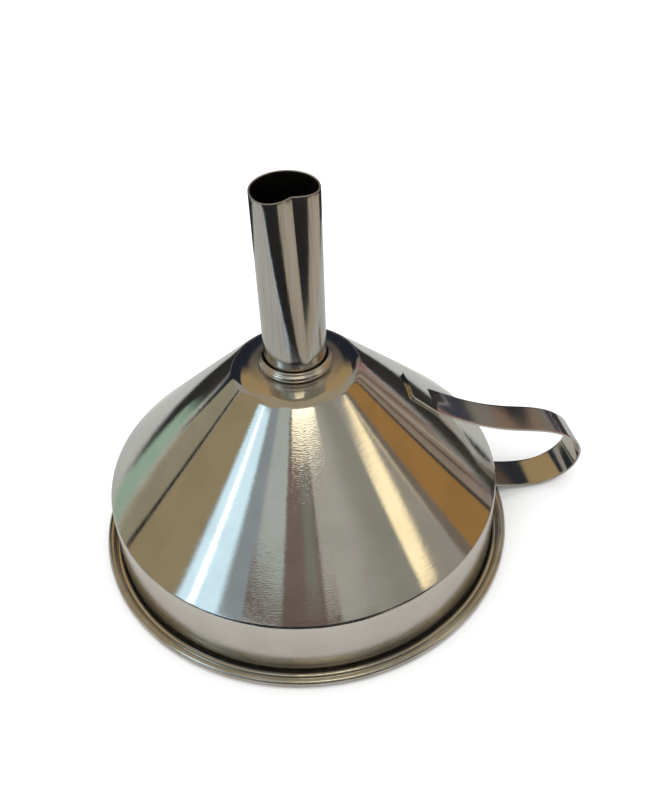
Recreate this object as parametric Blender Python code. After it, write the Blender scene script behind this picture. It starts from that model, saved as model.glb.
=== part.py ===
"""Canning funnel standing on its rim with the spout up.

Four welded and clinched pieces of stainless steel: the pressed bowl with its rolled rim, the spout
tube with a vent groove along one side, the neck collar that clinches the tube to the bowl, and the
strip handle, whose two flat tabs lie on the cone and on the skirt.
The origin is on the spout's axis at the level of the rim's underside; the handle is on the +X side.
"""

from math import atan2, cos, degrees, hypot, pi, radians, sin

import bmesh
import bpy
from mathutils import Vector
from mathutils.geometry import interpolate_bezier

MM = 0.001
GAP = 0.3 * MM  # clearance kept between touching pieces
MERGE = 0.00001

# Bowl: one sheet, drawn into a rim, a skirt, a cone and a flat shoulder round the neck hole
SHEET = 0.55 * MM
RIM_RADIUS = 65.0 * MM
ROLL_RADIUS = 1.475 * MM
ROLL_END = 190.0  # degrees, where the rolled edge stops short of the skirt
SKIRT_RADIUS = 60.45 * MM
FLARE_RADIUS = 1.3 * MM
CORNER_RADIUS = 1.7 * MM
CORNER_CENTRE = (58.75 * MM, 22.0 * MM)
CONE_FOOT = (59.97 * MM, 23.19 * MM)
CONE_HEAD = (17.6 * MM, 66.7 * MM)
CONE_BULGE = 0.12 * MM
SHOULDER_TURN = 1.6 * MM  # length taken off each side of the shoulder's bend
SHOULDER_PULL = 0.6  # how far the bend's handles reach towards its corner
NECK_HOLE = (9.35 * MM, 67.05 * MM)
BOWL_SIDES = 64

# Spout
TUBE_RADIUS = 9.0 * MM
TIP_RADIUS = 9.25 * MM
TUBE_WALL = 0.5 * MM
TIP_HEIGHT = 123.2 * MM
FLANGE_RADIUS = 11.2 * MM
FLANGE_FILLET = 0.6 * MM
GROOVE_AZIMUTH = -80.0
GROOVE_FOOT = 71.8 * MM
GROOVE_DEPTH = 4.2 * MM
GROOVE_HALF_WIDTH = 70.0  # degrees of the tube's circumference at the tip
TUBE_SIDES = 48

# Neck collar
COLLAR_BORE = 9.35 * MM
BEAD_CENTRE = (9.62 * MM, 68.5 * MM)
BEAD_RADIUS = 1.18 * MM
LIP_CENTRE = (9.80 * MM, 70.15 * MM)
LIP_RADIUS = 0.45 * MM
BORE_START = 0.9 * MM  # how far below the bead's centre the straight bore starts
COLLAR_SIDES = 48

# Handle strip
STRIP_WIDTH = 11.7 * MM
STRIP_THICKNESS = 0.7 * MM
STRIP_BEVEL = 0.12 * MM
STRIP_REACH = 0.36  # length of the path's handles as a share of the distance between its points
UPPER_TAB = (33.4 * MM, 41.2 * MM)  # cone radii between which the upper tab lies on the cone
LOWER_TAB = (6.1 * MM, 15.8 * MM)  # heights between which the lower tab lies on the skirt


def clear_scene():
    for old in list(bpy.data.objects):
        bpy.data.objects.remove(old, do_unlink=True)


def steel(name, colour, roughness):
    """A stainless finish of its own for one piece."""
    material = bpy.data.materials.new(name)
    material.use_nodes = True
    shader = material.node_tree.nodes["Principled BSDF"]
    shader.inputs["Base Color"].default_value = (*colour, 1.0)
    shader.inputs["Metallic"].default_value = 1.0
    shader.inputs["Roughness"].default_value = roughness
    return material


def add_object(name, mesh, material):
    mesh.materials.append(material)
    piece = bpy.data.objects.new(name, mesh)
    bpy.context.scene.collection.objects.link(piece)
    return piece


def arc(centre, radius, start, end, steps):
    """Points (r, z) on an arc from start to end, in degrees."""
    turns = [radians(start + (end - start) * i / steps) for i in range(steps + 1)]
    return [(centre[0] + radius * cos(t), centre[1] + radius * sin(t)) for t in turns]


def along(start, end, share):
    return (start[0] + (end[0] - start[0]) * share, start[1] + (end[1] - start[1]) * share)


def cone_normal():
    """Outward unit normal of the cone in the (r, z) plane."""
    dr, dz = CONE_HEAD[0] - CONE_FOOT[0], CONE_HEAD[1] - CONE_FOOT[1]
    length = hypot(dr, dz)
    return dz / length, -dr / length


def cone_point(share, lift=0.0):
    """Point at share of the way from the cone's foot to its head, lift above the slightly bulged wall."""
    r, z = along(CONE_FOOT, CONE_HEAD, share)
    normal = cone_normal()
    out = lift + 4 * share * (1 - share) * CONE_BULGE
    return r + normal[0] * out, z + normal[1] * out


def cone_share(radius):
    return (CONE_FOOT[0] - radius) / (CONE_FOOT[0] - CONE_HEAD[0])


def in_plane(point):
    """A point (r, z) as a vector in the XZ plane."""
    return Vector((point[0], 0, point[1]))


def shoulder_bend():
    """Points of the rounded bend between the flat shoulder and the cone."""
    cone_length = hypot(CONE_HEAD[0] - CONE_FOOT[0], CONE_HEAD[1] - CONE_FOOT[1])
    top = along(CONE_HEAD, NECK_HOLE, SHOULDER_TURN / (CONE_HEAD[0] - NECK_HOLE[0]))
    foot = cone_point(1 - SHOULDER_TURN / cone_length)
    top_handle = along(top, CONE_HEAD, SHOULDER_PULL)
    foot_handle = along(foot, CONE_HEAD, SHOULDER_PULL)
    bend = interpolate_bezier(in_plane(top), in_plane(top_handle), in_plane(foot_handle), in_plane(foot), 5)
    return [(p.x, p.z) for p in bend]


def bowl_line():
    """The sheet's outer face from the neck hole down to the end of the rolled rim."""
    line = [NECK_HOLE] + shoulder_bend()
    line += [cone_point(share) for share in (0.75, 0.5, 0.25)]
    line += arc(CORNER_CENTRE, CORNER_RADIUS, 44, 0, 4)
    flare_centre = (SKIRT_RADIUS + FLARE_RADIUS, SHEET + FLARE_RADIUS)
    line += arc(flare_centre, FLARE_RADIUS, 180, 270, 4)
    roll_centre = (RIM_RADIUS - ROLL_RADIUS, ROLL_RADIUS)
    line += arc(roll_centre, ROLL_RADIUS - SHEET, -90, ROLL_END, 9)
    return line


def turned(name, line, closed, sides, material):
    """A line of (r, z) points, running down its outer side, turned round the Z axis."""
    mesh = bpy.data.meshes.new(name)
    edges = [(i, i + 1) for i in range(len(line) - 1)]
    if closed:
        edges.append((len(line) - 1, 0))
    mesh.from_pydata([in_plane(point) for point in line], edges, [])
    piece = add_object(name, mesh, material)
    screw = piece.modifiers.new("turn", "SCREW")
    screw.axis = "Z"
    screw.angle = 2 * pi
    screw.steps = sides
    screw.render_steps = sides
    screw.use_merge_vertices = True
    screw.merge_threshold = MERGE
    screw.use_smooth_shade = True
    return piece


def make_bowl():
    finish = steel("bowl_steel", (0.66, 0.64, 0.61), 0.14)
    bowl = turned("bowl", bowl_line(), False, BOWL_SIDES, finish)
    sheet = bowl.modifiers.new("sheet", "SOLIDIFY")
    sheet.thickness = SHEET
    sheet.offset = -1
    sheet.use_even_offset = True
    return bowl


def groove_share(angle, half_width):
    """How far into its depth the groove is at an angle from its middle: 1 in the middle, 0 outside."""
    across = min(abs(angle) / half_width, 1.0)
    return 1 - sin(0.5 * pi * across) ** 1.6


def spout_radius(azimuth, height):
    """Outer radius of the spout tube, with the vent groove pressed into it."""
    rise = max(0.0, (height - GROOVE_FOOT) / (TIP_HEIGHT - GROOVE_FOOT))
    radius = TUBE_RADIUS + (TIP_RADIUS - TUBE_RADIUS) * rise
    if rise == 0.0:
        return radius
    angle = (azimuth - GROOVE_AZIMUTH + 180) % 360 - 180
    depth = GROOVE_DEPTH * rise**1.2
    return radius - depth * groove_share(angle, GROOVE_HALF_WIDTH * rise**0.6)


def spout_loop(height):
    azimuths = [360 * i / TUBE_SIDES for i in range(TUBE_SIDES)]
    radii = [spout_radius(a, height) for a in azimuths]
    return [Vector((r * cos(radians(a)), r * sin(radians(a)), height)) for a, r in zip(azimuths, radii)]


def inset_loop(loop, wall):
    """The same loop moved inwards by the wall's thickness."""
    moved = []
    for i, point in enumerate(loop):
        run = loop[(i + 1) % len(loop)] - loop[i - 1]
        inward = Vector((-run.y, run.x, 0)).normalized()
        moved.append(point + inward * wall)
    return moved


def round_loop(radius, height):
    turns = [2 * pi * i / TUBE_SIDES for i in range(TUBE_SIDES)]
    return [Vector((radius * cos(t), radius * sin(t), height)) for t in turns]


def loops_mesh(name, loops):
    """A closed ring-shaped solid through loops of points, given down the outside and up the inside."""
    shape = bmesh.new()
    rings = [[shape.verts.new(p) for p in loop] for loop in loops]
    for upper, lower in zip(rings, rings[1:] + rings[:1]):
        for i in range(len(upper)):
            j = (i + 1) % len(upper)
            shape.faces.new((upper[i], lower[i], lower[j], upper[j]))
    mesh = bpy.data.meshes.new(name)
    shape.to_mesh(mesh)
    shape.free()
    mesh.shade_smooth()
    mesh.set_sharp_from_angle(angle=radians(40))
    return mesh


def make_spout():
    flange_top = NECK_HOLE[1] - SHEET - GAP
    flange_slope = (NECK_HOLE[1] - CONE_HEAD[1]) / (CONE_HEAD[0] - NECK_HOLE[0])
    flange_drop = flange_slope * (FLANGE_RADIUS - NECK_HOLE[0])
    groove_length = TIP_HEIGHT - GROOVE_FOOT
    heights = [TIP_HEIGHT - groove_length * share for share in (0, 0.2, 0.4, 0.6, 0.8, 0.92, 1)]
    outside = [spout_loop(h) for h in heights]
    inside = [inset_loop(loop, TUBE_WALL) for loop in outside]
    fillet_centre = (TUBE_RADIUS + FLANGE_FILLET, flange_top + FLANGE_FILLET)
    outer_turn = arc(fillet_centre, FLANGE_FILLET, 180, 270, 3)
    inner_turn = arc(fillet_centre, FLANGE_FILLET + TUBE_WALL, 270, 180, 3)
    foot = [round_loop(r, z) for r, z in outer_turn]
    foot += [round_loop(FLANGE_RADIUS, flange_top - flange_drop)]
    foot += [round_loop(FLANGE_RADIUS, flange_top - flange_drop - TUBE_WALL)]
    foot += [round_loop(r, z) for r, z in inner_turn]
    finish = steel("spout_steel", (0.60, 0.58, 0.55), 0.24)
    return add_object("spout_tube", loops_mesh("spout_tube", outside + foot + inside[::-1]), finish)


def make_collar():
    """A turned ring: small lip above, large bead below, straight bore round the tube."""
    line = arc(LIP_CENTRE, LIP_RADIUS, 165, -60, 6)
    line += arc(BEAD_CENTRE, BEAD_RADIUS, 62, -100, 7)
    line += [(COLLAR_BORE, BEAD_CENTRE[1] - BORE_START)]
    finish = steel("collar_steel", (0.68, 0.65, 0.60), 0.12)
    return turned("neck_collar", line, True, COLLAR_SIDES, finish)


def smooth_path(anchors, steps):
    """Points of one smooth curve through anchors (x, z, heading in degrees)."""
    points = []
    for start, end in zip(anchors, anchors[1:]):
        reach = STRIP_REACH * hypot(end[0] - start[0], end[1] - start[1])
        leave = in_plane((cos(radians(start[2])), sin(radians(start[2])))) * reach
        arrive = in_plane((cos(radians(end[2])), sin(radians(end[2])))) * reach
        a, b = in_plane(start), in_plane(end)
        points += interpolate_bezier(a, a + leave, b - arrive, b, steps)[:-1]
    return points + [b]


def strip_path():
    """Centre line of the strip: up the cone's tab, round the finger loop and up the skirt's tab."""
    lift = GAP + STRIP_THICKNESS / 2
    tab_end = cone_point(cone_share(UPPER_TAB[0]), lift)
    crease = cone_point(cone_share(UPPER_TAB[1]), lift)
    slope = degrees(atan2(crease[1] - tab_end[1], crease[0] - tab_end[0]))
    skirt_x = SKIRT_RADIUS + lift
    loop = [
        (crease[0], crease[1], -37),
        (67.5 * MM, 28.8 * MM, -18),
        (87.0 * MM, 21.0 * MM, -38),
        (92.3 * MM, 12.2 * MM, -90),
        (86.4 * MM, 3.0 * MM, -152),
        (79.2 * MM, 1.1 * MM, -180),
        (63.2 * MM, 4.1 * MM, -195),
        (skirt_x, LOWER_TAB[0], -270),
    ]
    tab = [(*tab_end, slope), (*crease, slope)]
    upper = smooth_path(tab, 4)
    middle = smooth_path(loop, 7)
    lower = [Vector((skirt_x, 0, LOWER_TAB[1]))]
    return upper[:-1] + middle + lower


def make_handle():
    path = strip_path()
    half = STRIP_WIDTH / 2
    verts = [(p.x, side, p.z) for p in path for side in (-half, half)]
    faces = [(2 * i, 2 * i + 1, 2 * i + 3, 2 * i + 2) for i in range(len(path) - 1)]
    mesh = bpy.data.meshes.new("handle_strip")
    mesh.from_pydata(verts, [], faces)
    mesh.shade_smooth()
    finish = steel("handle_steel", (0.62, 0.59, 0.57), 0.18)
    handle = add_object("handle_strip", mesh, finish)
    strip = handle.modifiers.new("strip", "SOLIDIFY")
    strip.thickness = STRIP_THICKNESS
    strip.offset = 0
    strip.use_even_offset = True
    edges = handle.modifiers.new("edges", "BEVEL")
    edges.width = STRIP_BEVEL
    edges.segments = 1
    edges.limit_method = "ANGLE"
    edges.angle_limit = radians(60)
    return handle


def main():
    clear_scene()
    make_bowl()
    make_spout()
    make_collar()
    make_handle()


main()
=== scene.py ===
"""Looks of the canning funnel: fine meshes and finishes of its four steel pieces, the light and the camera."""

from math import atan2, cos, degrees, hypot, pi, radians, sin

import bpy
from mathutils import Matrix, Vector
from mathutils.geometry import interpolate_bezier


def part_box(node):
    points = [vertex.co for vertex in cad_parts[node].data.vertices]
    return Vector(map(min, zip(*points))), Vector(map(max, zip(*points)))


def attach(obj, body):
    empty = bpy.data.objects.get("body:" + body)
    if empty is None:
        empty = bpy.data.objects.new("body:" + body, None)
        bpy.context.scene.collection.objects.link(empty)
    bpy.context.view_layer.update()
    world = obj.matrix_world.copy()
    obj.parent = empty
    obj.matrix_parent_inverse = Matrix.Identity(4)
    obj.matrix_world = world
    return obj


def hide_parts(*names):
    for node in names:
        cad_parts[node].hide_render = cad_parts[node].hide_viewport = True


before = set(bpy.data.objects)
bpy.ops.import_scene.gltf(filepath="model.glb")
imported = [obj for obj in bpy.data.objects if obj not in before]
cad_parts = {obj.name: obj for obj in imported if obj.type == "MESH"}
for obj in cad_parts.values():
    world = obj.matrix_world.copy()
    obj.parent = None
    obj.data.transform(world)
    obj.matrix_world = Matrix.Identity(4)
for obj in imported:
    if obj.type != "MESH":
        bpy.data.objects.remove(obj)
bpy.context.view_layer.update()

MM = 0.001

BOWL_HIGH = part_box("bowl")[1]
TUBE_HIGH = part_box("spout_tube")[1]
STRIP_LOW, STRIP_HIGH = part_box("handle_strip")

# Bowl: one sheet, drawn into a rim, a skirt, a cone and a flat shoulder round the neck hole
SHEET = 0.55 * MM
RIM_RADIUS = BOWL_HIGH.x
ROLL_RADIUS = 1.475 * MM
ROLL_END = 190.0
SKIRT_RADIUS = RIM_RADIUS - 4.55 * MM
FLARE_RADIUS = 1.3 * MM
CORNER_RADIUS = 1.7 * MM
CORNER_CENTRE = (RIM_RADIUS - 6.25 * MM, 22.0 * MM)
CONE_FOOT = (RIM_RADIUS - 5.03 * MM, 23.19 * MM)
CONE_HEAD = (17.6 * MM, BOWL_HIGH.z - 0.35 * MM)
CONE_BULGE = 0.12 * MM
SHOULDER_TURN = 2.0 * MM
SHOULDER_PULL = 0.6
NECK_HOLE = (9.35 * MM, BOWL_HIGH.z)
BOWL_SIDES = 240
CONE_STEPS = 26
SKIRT_STEPS = 10

# Spout
TUBE_RADIUS = 9.0 * MM
TIP_RADIUS = 9.25 * MM
TUBE_WALL = 0.5 * MM
TIP_HEIGHT = TUBE_HIGH.z
FLANGE_RADIUS = TUBE_HIGH.x
FLANGE_FILLET = 0.6 * MM
GROOVE_AZIMUTH = -80.0
GROOVE_FOOT = 71.8 * MM
GROOVE_DEPTH = 4.2 * MM
GROOVE_HALF_WIDTH = 70.0
TUBE_SIDES = 160
TUBE_STEPS = 40
LIP_STEPS = 4
LIP_ROUND = 0.2 * MM

# Neck collar
COLLAR_BORE = 9.35 * MM
BEAD_CENTRE = (9.62 * MM, 68.5 * MM)
BEAD_RADIUS = 1.18 * MM
LIP_CENTRE = (9.80 * MM, 70.15 * MM)
LIP_RADIUS = 0.45 * MM
BORE_START = 0.9 * MM
COLLAR_SIDES = 160

# Handle strip
STRIP_WIDTH = STRIP_HIGH.y - STRIP_LOW.y
STRIP_THICKNESS = 0.7 * MM
STRIP_ROUND = 0.2 * MM
STRIP_REACH = 0.36
TAB_GAP = 0.08 * MM
FLANGE_GAP = 0.3 * MM
CONE_CURVE = 49.0 * MM  # radius to which the upper tab is bent round the cone
UPPER_TAB = (33.4 * MM, 41.2 * MM)
LOWER_TAB = (6.1 * MM, 15.8 * MM)
TAB_CORNER = 0.7 * MM
UPPER_FADE = 7 * MM  # length over which the strip turns from curved tab to flat loop
LOWER_FADE = 4 * MM
UPPER_TAB_STEPS = 14
LOWER_TAB_STEPS = 12
LOOP_STEPS = 18


def add_piece(name, verts, faces, smooth_angle, material, node):
    """Makes a piece that rides on the one body and stands in for a CAD node."""
    mesh = bpy.data.meshes.new(name)
    mesh.from_pydata(verts, [], faces)
    mesh.validate()
    mesh.shade_smooth()
    mesh.set_sharp_from_angle(angle=radians(smooth_angle))
    mesh.materials.append(material)
    piece = bpy.data.objects.new(name, mesh)
    bpy.context.scene.collection.objects.link(piece)
    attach(piece, "root")
    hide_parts(node)


def arc(centre, radius, start, end, steps):
    """Points (r, z) on an arc from start to end, in degrees."""
    turns = [radians(start + (end - start) * i / steps) for i in range(steps + 1)]
    return [(centre[0] + radius * cos(t), centre[1] + radius * sin(t)) for t in turns]


def along(start, end, share):
    """Point (r, z) at share of the way from start to end."""
    return (start[0] + (end[0] - start[0]) * share, start[1] + (end[1] - start[1]) * share)


def cone_normal():
    """Outward unit normal of the cone in the (r, z) plane."""
    dr, dz = CONE_HEAD[0] - CONE_FOOT[0], CONE_HEAD[1] - CONE_FOOT[1]
    length = hypot(dr, dz)
    return dz / length, -dr / length


def cone_point(share, lift=0.0):
    """Point at share of the way from the cone's foot to its head, lift above the slightly bulged wall."""
    r, z = along(CONE_FOOT, CONE_HEAD, share)
    normal = cone_normal()
    out = lift + 4 * share * (1 - share) * CONE_BULGE
    return r + normal[0] * out, z + normal[1] * out


def cone_share(radius):
    """How far up the cone, from 0 to 1, it has the given radius."""
    return (CONE_FOOT[0] - radius) / (CONE_FOOT[0] - CONE_HEAD[0])


def in_plane(point):
    """A point (r, z) as a vector in the XZ plane."""
    return Vector((point[0], 0, point[1]))


def shoulder_bend(steps):
    """Points of the rounded bend between the flat shoulder and the cone."""
    cone_length = hypot(CONE_HEAD[0] - CONE_FOOT[0], CONE_HEAD[1] - CONE_FOOT[1])
    top = along(CONE_HEAD, NECK_HOLE, SHOULDER_TURN / (CONE_HEAD[0] - NECK_HOLE[0]))
    foot = cone_point(1 - SHOULDER_TURN / cone_length)
    top_handle = along(top, CONE_HEAD, SHOULDER_PULL)
    foot_handle = along(foot, CONE_HEAD, SHOULDER_PULL)
    ends = [in_plane(point) for point in (top, top_handle, foot_handle, foot)]
    return [(p.x, p.z) for p in interpolate_bezier(*ends, steps)]


def bowl_line():
    """The sheet's outer face from the neck hole down to the end of the rolled rim."""
    line = [along(NECK_HOLE, CONE_HEAD, share) for share in (0, 0.25, 0.5)]
    bend = shoulder_bend(11)
    line += bend
    bend_share = cone_share(bend[-1][0])
    line += [cone_point(bend_share * (1 - i / CONE_STEPS)) for i in range(1, CONE_STEPS)]
    line += arc(CORNER_CENTRE, CORNER_RADIUS, 44, 0, 12)
    flare_centre = (SKIRT_RADIUS + FLARE_RADIUS, SHEET + FLARE_RADIUS)
    skirt_top = line[-1][1]
    skirt_drop = (flare_centre[1] - skirt_top) / SKIRT_STEPS
    line += [(SKIRT_RADIUS, skirt_top + skirt_drop * i) for i in range(1, SKIRT_STEPS)]
    line += arc(flare_centre, FLARE_RADIUS, 180, 270, 10)
    roll_centre = (RIM_RADIUS - ROLL_RADIUS, ROLL_RADIUS)
    line += arc(roll_centre, ROLL_RADIUS - SHEET, -90, ROLL_END, 30)
    return line


def offset_line(line, distance):
    """The line moved to its right-hand side, seen along its own direction."""
    moved = []
    for i, (r, z) in enumerate(line):
        ahead, behind = line[min(i + 1, len(line) - 1)], line[max(i - 1, 0)]
        dr, dz = ahead[0] - behind[0], ahead[1] - behind[1]
        length = hypot(dr, dz)
        moved.append((r + dz / length * distance, z - dr / length * distance))
    return moved


def turned(line, sides):
    """Vertices and faces of a closed line of (r, z) points turned round the Z axis."""
    verts, faces = [], []
    count = len(line)
    for k in range(sides):
        turn = 2 * pi * k / sides
        verts += [(r * cos(turn), r * sin(turn), z) for r, z in line]
    for k in range(sides):
        here, there = k * count, (k + 1) % sides * count
        for i in range(count):
            j = (i + 1) % count
            faces.append((here + i, here + j, there + j, there + i))
    return verts, faces


def make_bowl(finish):
    """One sheet of even thickness: its outer face, and the same line offset inwards."""
    outer = bowl_line()
    inner = offset_line(outer, SHEET)
    verts, faces = turned(outer + inner[::-1], BOWL_SIDES)
    add_piece("bowl_sheet", verts, faces, 35, finish, "bowl")


def groove_share(angle, half_width):
    """How far into its depth the groove is at an angle from its middle: 1 in the middle, 0 outside."""
    across = min(abs(angle) / half_width, 1.0)
    return 1 - sin(0.5 * pi * across) ** 1.6


def spout_radius(azimuth, height):
    """Outer radius of the spout tube, with the vent groove pressed into it."""
    rise = max(0.0, (height - GROOVE_FOOT) / (TIP_HEIGHT - GROOVE_FOOT))
    radius = TUBE_RADIUS + (TIP_RADIUS - TUBE_RADIUS) * rise
    if rise == 0.0:
        return radius
    angle = (azimuth - GROOVE_AZIMUTH + 180) % 360 - 180
    depth = GROOVE_DEPTH * rise**1.2
    return radius - depth * groove_share(angle, GROOVE_HALF_WIDTH * rise**0.6)


def spout_loop(height, inset=0.0):
    """Outline of the tube at a height, moved inwards by inset."""
    azimuths = [360 * i / TUBE_SIDES for i in range(TUBE_SIDES)]
    loop = []
    for a in azimuths:
        r = spout_radius(a, height)
        loop.append(Vector((r * cos(radians(a)), r * sin(radians(a)), height)))
    moved = []
    for i, point in enumerate(loop):
        run = loop[(i + 1) % len(loop)] - loop[i - 1]
        moved.append(point + Vector((-run.y, run.x, 0)).normalized() * inset)
    return moved


def round_loop(radius, height):
    """A plain circle with as many points as the tube has sides."""
    turns = [2 * pi * i / TUBE_SIDES for i in range(TUBE_SIDES)]
    return [Vector((radius * cos(t), radius * sin(t), height)) for t in turns]


def lip_loops(start, end):
    """Rings over the rounded edge of the tip, by angle from the outside, 0, to the inside, 180."""
    loops = []
    for i in range(LIP_STEPS + 1):
        turn = start + (end - start) * i / LIP_STEPS
        middle = LIP_ROUND if turn <= 90 else TUBE_WALL - LIP_ROUND
        inset = middle - LIP_ROUND * cos(radians(turn))
        drop = LIP_ROUND * (1 - sin(radians(turn)))
        loop = spout_loop(TIP_HEIGHT, inset)
        loops.append([p - Vector((0, 0, drop)) for p in loop])
    return loops


def make_spout(finish):
    """The tube as a stack of rings: tip, outside, flange, inside and back to the tip."""
    flange_top = NECK_HOLE[1] - SHEET - FLANGE_GAP
    flange_slope = (NECK_HOLE[1] - CONE_HEAD[1]) / (CONE_HEAD[0] - NECK_HOLE[0])
    flange_drop = flange_slope * (FLANGE_RADIUS - NECK_HOLE[0])
    wall_top = TIP_HEIGHT - LIP_ROUND
    wall_height = wall_top - GROOVE_FOOT
    heights = [wall_top - wall_height * (i / TUBE_STEPS) for i in range(1, TUBE_STEPS + 1)]
    outside = [spout_loop(h) for h in heights]
    inside = [spout_loop(h, TUBE_WALL) for h in heights[::-1]]
    fillet_centre = (TUBE_RADIUS + FLANGE_FILLET, flange_top + FLANGE_FILLET)
    foot = [round_loop(r, z) for r, z in arc(fillet_centre, FLANGE_FILLET, 180, 270, 6)]
    foot += [round_loop(FLANGE_RADIUS, flange_top - flange_drop)]
    foot += [round_loop(FLANGE_RADIUS, flange_top - flange_drop - TUBE_WALL)]
    foot += [round_loop(r, z) for r, z in arc(fillet_centre, FLANGE_FILLET + TUBE_WALL, 270, 180, 6)]
    crest_to_outside, inside_to_crest = lip_loops(90, 0), lip_loops(180, 90)
    rings = crest_to_outside + outside + foot + inside + inside_to_crest[:-1]
    verts = [tuple(p) for ring in rings for p in ring]
    faces = []
    for k in range(len(rings)):
        here, there = k * TUBE_SIDES, (k + 1) % len(rings) * TUBE_SIDES
        for i in range(TUBE_SIDES):
            j = (i + 1) % TUBE_SIDES
            faces.append((here + i, there + i, there + j, here + j))
    add_piece("spout_wall", verts, faces, 40, finish, "spout_tube")


def make_collar(finish):
    """A ring with a small lip above a larger bead, closed by its straight bore."""
    line = arc(LIP_CENTRE, LIP_RADIUS, 165, -60, 18)
    line += arc(BEAD_CENTRE, BEAD_RADIUS, 62, -100, 24)
    line += [(COLLAR_BORE, BEAD_CENTRE[1] - BORE_START)]
    verts, faces = turned(line, COLLAR_SIDES)
    add_piece("collar_ring", verts, faces, 35, finish, "neck_collar")


def smooth_path(anchors, steps):
    """Points of one smooth curve through anchors (x, z, heading in degrees)."""
    points = []
    for start, end in zip(anchors, anchors[1:]):
        reach = STRIP_REACH * hypot(end[0] - start[0], end[1] - start[1])
        leave = in_plane((cos(radians(start[2])), sin(radians(start[2])))) * reach
        arrive = in_plane((cos(radians(end[2])), sin(radians(end[2])))) * reach
        a, b = in_plane(start), in_plane(end)
        points += interpolate_bezier(a, a + leave, b - arrive, b, steps)[:-1]
    return points + [b]


def strip_path():
    """Centre line of the strip: up the cone's tab, round the finger loop and up the skirt's tab."""
    lift = TAB_GAP + STRIP_THICKNESS / 2
    tab_end = cone_point(cone_share(UPPER_TAB[0]), lift)
    crease = cone_point(cone_share(UPPER_TAB[1]), lift)
    slope = degrees(atan2(crease[1] - tab_end[1], crease[0] - tab_end[0]))
    skirt_x = SKIRT_RADIUS + lift
    loop = [
        (crease[0], crease[1], -37),
        (67.5 * MM, 28.8 * MM, -18),
        (87.0 * MM, 21.0 * MM, -38),
        (92.3 * MM, 12.2 * MM, -90),
        (86.4 * MM, 3.0 * MM, -152),
        (79.2 * MM, 1.1 * MM, -180),
        (63.2 * MM, 4.1 * MM, -195),
        (skirt_x, LOWER_TAB[0], -270),
    ]
    tab = [(*tab_end, slope), (*crease, slope)]
    upper = smooth_path(tab, UPPER_TAB_STEPS)
    middle = smooth_path(loop, LOOP_STEPS)
    rise = (LOWER_TAB[1] - LOWER_TAB[0]) / LOWER_TAB_STEPS
    lower = [Vector((skirt_x, 0, LOWER_TAB[0] + rise * i)) for i in range(1, LOWER_TAB_STEPS + 1)]
    return upper[:-1] + middle + lower


def make_handle(finish):
    """A rounded strip swept along its path, its tabs bent to the bowl and their corners rounded off."""
    path = strip_path()
    lengths = [0.0]
    for a, b in zip(path, path[1:]):
        lengths.append(lengths[-1] + (b - a).length)
    total = lengths[-1]
    upper_tab = (path[UPPER_TAB_STEPS] - path[0]).length
    lower_tab = LOWER_TAB[1] - LOWER_TAB[0]

    def frame_at(distance):
        """Point and outward normal of the path at a distance along it."""
        i = max(k for k in range(len(path) - 1) if lengths[k] <= distance)
        share = (distance - lengths[i]) / (lengths[i + 1] - lengths[i])
        point = path[i].lerp(path[i + 1], share)
        before = (path[i + 1] - path[i - 1]) if i > 0 else (path[1] - path[0])
        after = (path[i + 2] - path[i]) if i + 2 < len(path) else (path[-1] - path[-2])
        run = before.normalized().lerp(after.normalized(), share).normalized()
        return point, Vector((-run.z, 0, run.x))

    def hug(distance):
        """How strongly the strip is curved across its width: the tabs follow the bowl, the loop is flat."""
        upper = min(max(1 - (distance - upper_tab) / UPPER_FADE, 0), 1)
        lower = min(max(1 - (total - lower_tab - distance) / LOWER_FADE, 0), 1)
        return upper / (2 * CONE_CURVE) + lower / (2 * SKIRT_RADIUS)

    turns = [radians(a) for a in (2, 22, 45, 67, 90)]
    corner = [(TAB_CORNER * (1 - cos(t)), TAB_CORNER * (1 - sin(t))) for t in turns]
    stations = corner + [(d, 0.0) for d in lengths if TAB_CORNER < d < total - TAB_CORNER]
    stations += [(total - d, narrow) for d, narrow in corner[::-1]]
    half, thick = STRIP_WIDTH / 2, STRIP_THICKNESS / 2
    verts, faces = [], []
    for distance, narrow in stations:
        point, normal = frame_at(distance)
        flat = half - narrow - STRIP_ROUND
        top = [(flat * (i / 10 - 1), thick) for i in range(21)]
        edge = arc((flat, thick - STRIP_ROUND), STRIP_ROUND, 67, 0, 3)
        side = edge + [(across, -up) for across, up in edge[::-1]]
        section = top + side + [(-across, -up) for across, up in top + side]
        curve = hug(distance)
        for across, up in section:
            p = point + normal * (up - curve * across * across)
            verts.append((p.x, across, p.z))
    count = len(section)
    for k in range(len(stations) - 1):
        here, there = k * count, (k + 1) * count
        for i in range(count):
            j = (i + 1) % count
            faces.append((here + i, there + i, there + j, here + j))
    faces.append(tuple(range(count)))
    faces.append(tuple(range(len(verts) - count, len(verts)))[::-1])
    add_piece("handle_band", verts, faces, 40, finish, "handle_strip")


def calc(tree, operation, *values):
    """A maths node fed with numbers or with other nodes' outputs."""
    node = tree.nodes.new("ShaderNodeMath")
    node.operation = operation
    for socket, value in zip(node.inputs, values):
        if isinstance(value, (int, float)):
            socket.default_value = value
        else:
            tree.links.new(value, socket)
    return node.outputs[0]


def pack_vector(tree, x, y, z):
    """Three outputs joined into one vector."""
    node = tree.nodes.new("ShaderNodeCombineXYZ")
    for socket, value in zip(node.inputs, (x, y, z)):
        tree.links.new(value, socket)
    return node.outputs[0]


def speckle(tree, vector, scale, detail):
    """Noise from 0 to 1 round 0.5."""
    node = tree.nodes.new("ShaderNodeTexNoise")
    node.inputs["Scale"].default_value = scale
    node.inputs["Detail"].default_value = detail
    tree.links.new(vector, node.inputs["Vector"])
    return node.outputs["Fac"]


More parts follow.
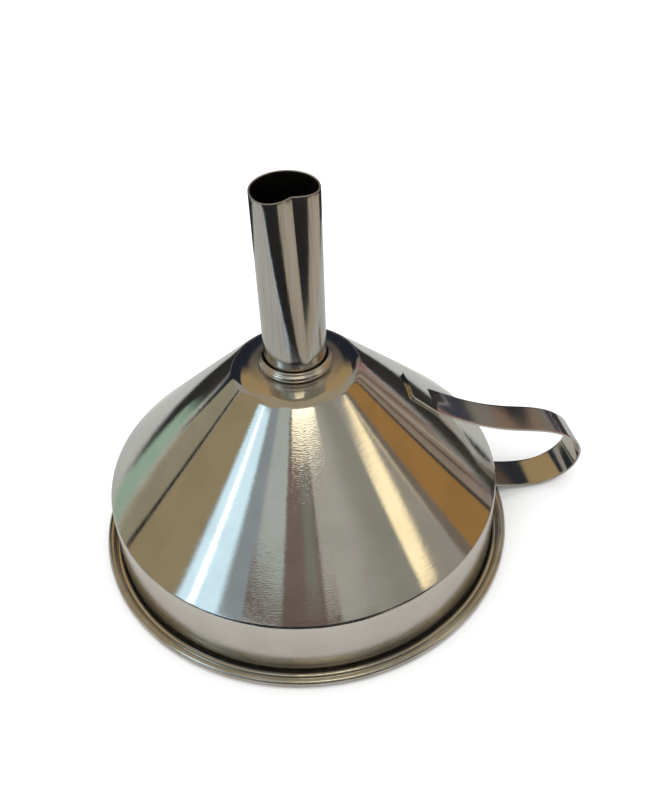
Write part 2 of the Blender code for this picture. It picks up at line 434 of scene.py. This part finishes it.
def ramp(tree, value, low, high, start, end):
    """Smooth change from start to end while value goes from low to high."""
    node = tree.nodes.new("ShaderNodeMapRange")
    node.interpolation_type = "SMOOTHSTEP"
    tree.links.new(value, node.inputs["Value"])
    for name, number in (("From Min", low), ("From Max", high), ("To Min", start), ("To Max", end)):
        node.inputs[name].default_value = number
    return node.outputs[0]


def blend(tree, share, a, b):
    """Mix of two colours, each a tuple or another node's output, from a at 0 to b at 1."""
    node = tree.nodes.new("ShaderNodeMix")
    node.data_type = "RGBA"
    tree.links.new(share, node.inputs["Factor"])
    for socket, value in ((node.inputs["A"], a), (node.inputs["B"], b)):
        if isinstance(value, tuple):
            socket.default_value = (*value, 1)
        else:
            tree.links.new(value, socket)
    return node.outputs["Result"]


MOTTLE_SCALE = 90
GRAIN_SCALE = 450
GRAIN_ROUGHNESS = 0.015
SCRATCH_WIDTH = 0.012  # in cells of the pattern that the scratches run along


class Steel:
    """A stainless finish: grain lines, soft waves, scratches and mottling round one shader."""

    def __init__(self, name):
        self.material = bpy.data.materials.new(name)
        self.material.use_nodes = True
        self.tree = self.material.node_tree
        self.shader = self.tree.nodes["Principled BSDF"]
        self.shader.inputs["Metallic"].default_value = 1.0
        place = self.tree.nodes.new("ShaderNodeTexCoord").outputs["Object"]
        split = self.tree.nodes.new("ShaderNodeSeparateXYZ")
        self.tree.links.new(place, split.inputs[0])
        self.place = place
        self.x, self.y, self.z = split.outputs
        self.radius = None
        self.height = None

    def times(self, value, factor):
        """An output multiplied by a number."""
        return calc(self.tree, "MULTIPLY", value, factor)

    def find_radius(self):
        """Distance from the axis, for a turned piece."""
        x_squared = calc(self.tree, "POWER", self.x, 2)
        y_squared = calc(self.tree, "POWER", self.y, 2)
        self.radius = calc(self.tree, "SQRT", calc(self.tree, "ADD", x_squared, y_squared))

    def round_axis(self, across, down):
        """Coordinates of a turned piece without a seam: its direction from the axis, and down as given."""
        u = self.times(calc(self.tree, "DIVIDE", self.x, self.radius), across)
        v = self.times(calc(self.tree, "DIVIDE", self.y, self.radius), across)
        return pack_vector(self.tree, u, v, down)

    def turning_marks(self, across, along_profile):
        """Coordinates for fine lines round a turned piece, close together down its profile."""
        self.find_radius()
        profile = calc(self.tree, "SUBTRACT", self.radius, self.z)
        return self.round_axis(across, self.times(profile, along_profile))

    def relief(self, fac, depth):
        """Adds a bump whose noise has the given depth in metres."""
        bump = self.tree.nodes.new("ShaderNodeBump")
        bump.inputs["Distance"].default_value = depth
        self.tree.links.new(fac, bump.inputs["Height"])
        if self.height:
            self.tree.links.new(self.height, bump.inputs["Normal"])
        self.height = bump.outputs["Normal"]
        self.tree.links.new(self.height, self.shader.inputs["Normal"])

    def scratches(self, density):
        """A few thin lines: a mask that is 1 on a scratch."""
        cells = self.tree.nodes.new("ShaderNodeTexVoronoi")
        cells.feature = "DISTANCE_TO_EDGE"
        cells.inputs["Scale"].default_value = density
        self.tree.links.new(self.place, cells.inputs["Vector"])
        line = ramp(self.tree, cells.outputs["Distance"], 0.0, SCRATCH_WIDTH, 1.0, 0.0)
        cloud = speckle(self.tree, self.place, density * 0.7, 2)
        patch = ramp(self.tree, cloud, 0.54, 0.6, 0.0, 1.0)
        return calc(self.tree, "MULTIPLY", line, patch)

    def finish(self, colour, stain, roughness, marks=None):
        """Sets colour with a faint stain, in patches or in marks, and the roughness."""
        marks = marks or speckle(self.tree, self.place, MOTTLE_SCALE, 4)
        mottle = ramp(self.tree, marks, 0.35, 0.7, 0.0, 1.0)
        shade = blend(self.tree, mottle, colour, stain)
        self.tree.links.new(shade, self.shader.inputs["Base Color"])
        grain = speckle(self.tree, self.place, GRAIN_SCALE, 3)
        grain = ramp(self.tree, grain, 0.3, 0.7, -GRAIN_ROUGHNESS, GRAIN_ROUGHNESS)
        uneven = calc(self.tree, "ADD", roughness, grain)
        self.tree.links.new(uneven, self.shader.inputs["Roughness"])
        return self.material

    def brush(self, amount, turned_by):
        """Stretches the highlights: along the profile when turned by a quarter."""
        tangent = self.tree.nodes.new("ShaderNodeTangent")
        tangent.direction_type = "RADIAL"
        tangent.axis = "Z"
        self.tree.links.new(tangent.outputs[0], self.shader.inputs["Tangent"])
        self.shader.inputs["Anisotropic"].default_value = amount
        self.shader.inputs["Anisotropic Rotation"].default_value = turned_by


def bowl_steel():
    """Bright spun cone with fine circles, satin skirt, and a rougher rim whose darker colour is painted shade.
    """
    steel = Steel("bowl_finish")
    tree = steel.tree
    steel.brush(0.4, 0.25)
    fine = steel.turning_marks(24, 2600)
    steel.relief(speckle(tree, fine, 1, 2), 0.012 * MM)
    steel.relief(speckle(tree, steel.place, 160, 1), 0.006 * MM)
    scratch = steel.scratches(70)
    corner = CORNER_CENTRE[1]
    cone = ramp(tree, steel.z, corner - 0.6 * MM, corner + 0.5 * MM, 0.0, 1.0)
    rim = ramp(tree, steel.radius, RIM_RADIUS - 3.2 * MM, RIM_RADIUS - 2.6 * MM, 0.0, 1.0)
    shoulder = ramp(tree, steel.radius, 15 * MM, 18 * MM, 1.0, 0.0)
    neck = ramp(tree, steel.radius, 12.4 * MM, 14.5 * MM, 1.0, 0.0)
    rough = calc(tree, "MULTIPLY_ADD", cone, -0.085, 0.15)
    rough = calc(tree, "MULTIPLY_ADD", rim, 0.06, rough)
    rough = calc(tree, "MULTIPLY_ADD", shoulder, -0.01, rough)
    rough = calc(tree, "MULTIPLY_ADD", neck, 0.14, rough)
    rough = calc(tree, "MULTIPLY_ADD", scratch, 0.04, rough)
    # Darker colour towards the rim: painted shade, standing in for the darker reflections on the rim.
    colour = blend(tree, rim, (0.66, 0.64, 0.61), (0.50, 0.475, 0.41))
    return steel.finish(colour, (0.61, 0.59, 0.56), rough)


def spout_steel():
    """Tube drawn lengthwise: long fine lines, and a dull cut edge at the tip."""
    steel = Steel("spout_finish")
    tree = steel.tree
    steel.brush(0.5, 0.0)
    steel.find_radius()
    lines = speckle(tree, steel.round_axis(26, steel.times(steel.z, 60)), 1, 3)
    steel.relief(lines, 0.014 * MM)
    cut = ramp(tree, steel.z, TIP_HEIGHT - 0.25 * MM, TIP_HEIGHT - 0.1 * MM, 0.0, 1.0)
    rough = calc(tree, "MULTIPLY_ADD", cut, 0.2, 0.15)
    rough = calc(tree, "MULTIPLY_ADD", steel.scratches(120), 0.1, rough)
    return steel.finish((0.56, 0.54, 0.50), (0.46, 0.44, 0.405), rough, lines)


def collar_steel():
    """Small turned ring, polished, with turning marks round it."""
    steel = Steel("collar_finish")
    tree = steel.tree
    fine = steel.turning_marks(8, 3200)
    steel.relief(speckle(tree, fine, 1, 2), 0.006 * MM)
    rough = calc(tree, "MULTIPLY_ADD", steel.scratches(160), 0.1, 0.19)
    return steel.finish((0.68, 0.65, 0.60), (0.60, 0.57, 0.52), rough)


def handle_steel():
    """Rolled strip: lines along it, and edges rubbed duller."""
    steel = Steel("handle_finish")
    tree = steel.tree
    across = steel.times(steel.y, 2400)
    lines = pack_vector(tree, steel.times(steel.x, 40), across, steel.times(steel.z, 40))
    steel.relief(speckle(tree, lines, 1, 2), 0.003 * MM)
    off_middle = calc(tree, "ABSOLUTE", steel.y)
    edge = ramp(tree, off_middle, STRIP_WIDTH * 0.46, STRIP_WIDTH * 0.5, 0.0, 1.0)
    rough = calc(tree, "MULTIPLY_ADD", edge, 0.1, 0.1)
    rough = calc(tree, "MULTIPLY_ADD", steel.scratches(110), 0.08, rough)
    return steel.finish((0.62, 0.60, 0.57), (0.57, 0.55, 0.52), rough)


CAMERA_PLACE = (-34.70 * MM, -219.08 * MM, 250.17 * MM)
CAMERA_HEADING = 10.83
CAMERA_TILT = 42.05
CAMERA_ROLL = -2.64
LENS = 44.61


def make_camera():
    """The camera, turned by its heading, its tilt below the level and its roll."""
    data = bpy.data.cameras.new("camera")
    data.lens = LENS
    data.sensor_width = 36
    camera = bpy.data.objects.new("camera", data)
    bpy.context.scene.collection.objects.link(camera)
    turn = Matrix.Rotation(radians(-CAMERA_HEADING), 4, "Z")
    turn @= Matrix.Rotation(radians(90 - CAMERA_TILT), 4, "X")
    turn @= Matrix.Rotation(radians(CAMERA_ROLL), 4, "Z")
    camera.matrix_world = Matrix.Translation(CAMERA_PLACE) @ turn
    data.clip_start, data.clip_end = 0.01, 50
    bpy.context.scene.camera = camera


def stage_sheet(name, corners, height, colour, seen=True):
    """A flat sheet on the stage. One that isn't seen only shows in the steel."""
    mesh = bpy.data.meshes.new(name)
    mesh.from_pydata([(x, y, height) for x, y in corners], [], [tuple(range(len(corners)))])
    sheet = bpy.data.objects.new(name, mesh)
    bpy.context.scene.collection.objects.link(sheet)
    material = bpy.data.materials.new(name)
    material.use_nodes = True
    shader = material.node_tree.nodes["Principled BSDF"]
    shader.inputs["Base Color"].default_value = (*colour, 1)
    shader.inputs["Roughness"].default_value = 0.9
    mesh.materials.append(material)
    if not seen:
        sheet.visible_camera = False
        sheet.visible_diffuse = False
        sheet.visible_shadow = False


def square(half):
    """Corners of a square round the origin."""
    return [(-half, -half), (half, -half), (half, half), (-half, half)]


def make_stage():
    """The pale floor that shows, and the cards over it that show only in the steel.

    Cards that overlap have different heights, so that the upper one shows.
    """
    stage_sheet("floor", square(6), 0, (0.92, 0.92, 0.92))
    stage_sheet("dark_ground", square(3), 0.05 * MM, (0.004, 0.004, 0.006), seen=False)
    mat = [(0.075, -0.1), (-0.07, -0.086), (-0.2, -0.118), (-0.34, -0.16), (-0.34, 0.12),
           (-0.13, 0.145), (0.1, 0.17), (0.17, 0.1), (0.16, -0.02)]
    stage_sheet("mat", mat[::-1], 0.3 * MM, (0.42, 0.425, 0.41), seen=False)
    near = 0.094
    disc = [(near * cos(radians(a)), near * sin(radians(a))) for a in range(0, 360, 10)]
    stage_sheet("near_mat", disc, 0.4 * MM, (0.55, 0.53, 0.495), seen=False)
    edge = [(-0.05, -0.084), (-0.05, -0.092), (-0.205, -0.131), (-0.2, -0.117)]
    stage_sheet("mat_edge", edge[::-1], 0.35 * MM, (0.6, 0.75, 0.9), seen=False)
    tan = [(0.018, -0.107), (0.04, -0.133), (0.052, -0.16), (0.08, -0.207), (0.11, -0.25),
           (0.16, -0.36), (0.4, -0.2), (0.2, -0.09), (0.09, -0.08)]
    stage_sheet("tan_card", tan, 0.15 * MM, (0.36, 0.32, 0.25), seen=False)
    beige = [(0.075, -0.105), (0.11, -0.15), (0.23, -0.18), (0.3, -0.1),
             (0.3, 0.04), (0.2, 0.045), (0.095, 0.035), (0.095, -0.05)]
    stage_sheet("beige_card", beige, 0.2 * MM, (0.42, 0.37, 0.31), seen=False)
    green = [(-0.175, 0.1), (-1.1, 0.55), (-0.9, 1.1), (-0.165, 0.26)]
    stage_sheet("green_card", green[::-1], 0.15 * MM, (0.24, 0.38, 0.29), seen=False)
    pale = [(-1.1, 0.55), (-2.6, 1.5), (-2.0, 2.6), (-0.9, 1.1)]
    stage_sheet("pale_card", pale[::-1], 0.15 * MM, (0.42, 0.39, 0.31), seen=False)


ROOM_COLOUR = (0.4, 0.38, 0.34)
STUDIO_WHITE = (1.45, 1.45, 1.45)

# Coloured panels that only the steel's reflections show, later ones over earlier ones, laid out for the
# camera's own view. Each has a name, azimuth from the front towards the handle, elevation, half width,
# half height, lean, softness and colour. Lean is sideways travel for each degree of elevation, and the
# other measures are in degrees.
PANELS = (
    ("ceiling", 0, 80, 180, 33, 0, 6, (0.42, 0.36, 0.24)),
    ("front_low", -15, 8, 66, 23, 0, 1.5, (0.025, 0.025, 0.03)),
    ("right_dim", 38, 43, 14, 22, 0, 3, (0.34, 0.33, 0.28)),
    ("right_grey", 8, 43, 20, 18, 0, 14, (0.50, 0.49, 0.43)),
    ("left_grey", -36, 43, 12, 20, 0, 3, (0.52, 0.58, 0.55)),
    ("figure", -13.5, 36, 12, 11, 0, 0.6, (0.22, 0.17, 0.15)),
    ("figure_light", -8, 41, 4, 7, 0, 2, (0.25, 0.25, 0.22)),
    ("window_side", -52, 31, 7, 18, 0, 3, (0.34, 0.39, 0.42)),
    ("window", -69, 27, 11, 15, 0, 2.2, (0.95, 1.28, 1.48)),
    ("window_foot", -60, 21, 11, 3, 0, 2, (0.88, 1.21, 1.42)),
    ("window_bar", -71.5, 27, 1.5, 13, 0.08, 1, (2.0, 2.2, 2.3)),
    ("figure_foot", -20, 31.5, 26, 2.0, 0, 1.2, (0.16, 0.11, 0.10)),
    ("tan_wall", -97, 25, 17, 30, 0, 3, (0.385, 0.31, 0.18)),
    ("olive_wall", -127, 6, 14, 10, 0, 1, (0.36, 0.335, 0.235)),
    ("dark_streak", -115, 13, 1.3, 9, -0.3, 1, (0.03, 0.03, 0.03)),
    ("lamp", 62, 27.5, 12, 5.2, 0.3, 1, (1.6, 1.35, 0.85)),
    ("lamp_shade", 79, 27.5, 12, 8, 2.0, 1, (0.40, 0.38, 0.31)),
    ("lamp_rim", 74, 27, 0.7, 9, -0.2, 0.5, (1.2, 1.05, 0.7)),
    ("brown_edge", 78, 23, 3.2, 20, 0, 1.0, (0.23, 0.19, 0.15)),
    ("ochre", 90, 18, 9.5, 20, 0, 0.8, (0.41, 0.225, 0.07)),
    ("dark_edge", 100.5, 13, 1.2, 20, 0, 0.6, (0.06, 0.05, 0.04)),
    ("pink_grey", 113, 13, 11, 20, 0, 1.5, (0.33, 0.26, 0.20)),
    ("brown_line", 107, 13, 0.9, 20, 0, 0.5, (0.16, 0.11, 0.08)),
    ("pale_line", 111, 13, 0.8, 20, 0, 0.5, (0.48, 0.42, 0.34)),
    ("brown_line_two", 116, 13, 1.2, 20, 0, 0.7, (0.20, 0.14, 0.10)),
    ("pink", 126, 9, 2.5, 12, 0, 1.5, (0.42, 0.16, 0.19)),
    ("back_right", 146, 20, 16, 20, 0, 3, (0.12, 0.09, 0.06)),
    ("behind_grey", 134, 12, 5, 6, 0, 2, (0.26, 0.24, 0.20)),
    ("behind_brown", 135, 22, 5, 5, 0, 1.5, (0.32, 0.22, 0.16)),
    ("behind_navy", 134, 0, 5, 7, 0, 2.5, (0.06, 0.06, 0.085)),
    ("back_dark", 180, 20, 44, 20.5, 0, 0.6, (0.018, 0.023, 0.034)),
    ("back_tan", 180, 48, 44, 7.6, 0, 0.6, (0.46, 0.33, 0.16)),
    ("top_lights", -2, 50.5, 20, 5.2, 0, 0.8, (2.4, 2.2, 1.6)),
)


PANEL_MEASURES = ("Azimuth", "Elevation", "Half width", "Half height", "Lean", "Softness")


def panel_group():
    """Node group that lays one soft-edged panel over the surround's colour."""
    group = bpy.data.node_groups.new("panel", "ShaderNodeTree")
    face = group.interface
    face.new_socket("Behind", in_out="INPUT", socket_type="NodeSocketColor")
    face.new_socket("Colour", in_out="INPUT", socket_type="NodeSocketColor")
    for name in ("Turn", "Rise", *PANEL_MEASURES):
        face.new_socket(name, in_out="INPUT", socket_type="NodeSocketFloat")
    face.new_socket("Seen", in_out="OUTPUT", socket_type="NodeSocketColor")
    put, get = group.nodes.new("NodeGroupInput"), group.nodes.new("NodeGroupOutput")

    def inside(distance, half):
        """1 while the distance is less than half, fading to 0 over the softness on either side."""
        fade = group.nodes.new("ShaderNodeMapRange")
        fade.interpolation_type = "SMOOTHSTEP"
        group.links.new(distance, fade.inputs["Value"])
        near = calc(group, "SUBTRACT", half, put.outputs["Softness"])
        far = calc(group, "ADD", half, put.outputs["Softness"])
        group.links.new(near, fade.inputs["From Min"])
        group.links.new(far, fade.inputs["From Max"])
        fade.inputs["To Min"].default_value = 1
        fade.inputs["To Max"].default_value = 0
        return fade.outputs[0]

    above = calc(group, "SUBTRACT", put.outputs["Rise"], put.outputs["Elevation"])
    leaning = calc(group, "MULTIPLY_ADD", above, put.outputs["Lean"], put.outputs["Azimuth"])
    across = calc(group, "WRAP", calc(group, "SUBTRACT", put.outputs["Turn"], leaning), 180, -180)
    wide = inside(calc(group, "ABSOLUTE", across), put.outputs["Half width"])
    high = inside(calc(group, "ABSOLUTE", above), put.outputs["Half height"])
    mix = group.nodes.new("ShaderNodeMix")
    mix.data_type = "RGBA"
    group.links.new(calc(group, "MULTIPLY", wide, high), mix.inputs["Factor"])
    group.links.new(put.outputs["Behind"], mix.inputs["A"])
    group.links.new(put.outputs["Colour"], mix.inputs["B"])
    group.links.new(mix.outputs["Result"], get.inputs["Seen"])
    return group


def make_world():
    """The surround: panels for the steel to reflect, and an even white for everything else."""
    world = bpy.data.worlds.new("studio")
    world.use_nodes = True
    bpy.context.scene.world = world
    tree = world.node_tree
    nodes, links = tree.nodes, tree.links
    nodes.clear()
    group = panel_group()
    place = nodes.new("ShaderNodeTexCoord")
    split = nodes.new("ShaderNodeSeparateXYZ")
    links.new(place.outputs["Generated"], split.inputs[0])

    back = calc(tree, "MULTIPLY", split.outputs["Y"], -1)
    turn = calc(tree, "DEGREES", calc(tree, "ARCTAN2", split.outputs["X"], back))
    rise = calc(tree, "DEGREES", calc(tree, "ARCSINE", split.outputs["Z"]))
    seen = None
    for name, *measures, colour in PANELS:
        node = nodes.new("ShaderNodeGroup")
        node.node_tree = group
        node.label = name
        if seen is None:
            node.inputs["Behind"].default_value = (*ROOM_COLOUR, 1)
        else:
            links.new(seen, node.inputs["Behind"])
        node.inputs["Colour"].default_value = (*colour, 1)
        links.new(turn, node.inputs["Turn"])
        links.new(rise, node.inputs["Rise"])
        for socket, value in zip(PANEL_MEASURES, measures):
            node.inputs[socket].default_value = value
        seen = node.outputs["Seen"]
    ray = nodes.new("ShaderNodeLightPath")
    pick = nodes.new("ShaderNodeMix")
    pick.data_type = "RGBA"
    links.new(ray.outputs["Is Glossy Ray"], pick.inputs["Factor"])
    pick.inputs["A"].default_value = (*STUDIO_WHITE, 1)
    links.new(seen, pick.inputs["B"])
    shade = nodes.new("ShaderNodeBackground")
    links.new(pick.outputs["Result"], shade.inputs["Color"])
    out = nodes.new("ShaderNodeOutputWorld")
    links.new(shade.outputs[0], out.inputs["Surface"])


bpy.context.scene.view_settings.view_transform = "Standard"
make_camera()
make_stage()
make_world()
make_bowl(bowl_steel())
make_spout(spout_steel())
make_collar(collar_steel())
make_handle(handle_steel())
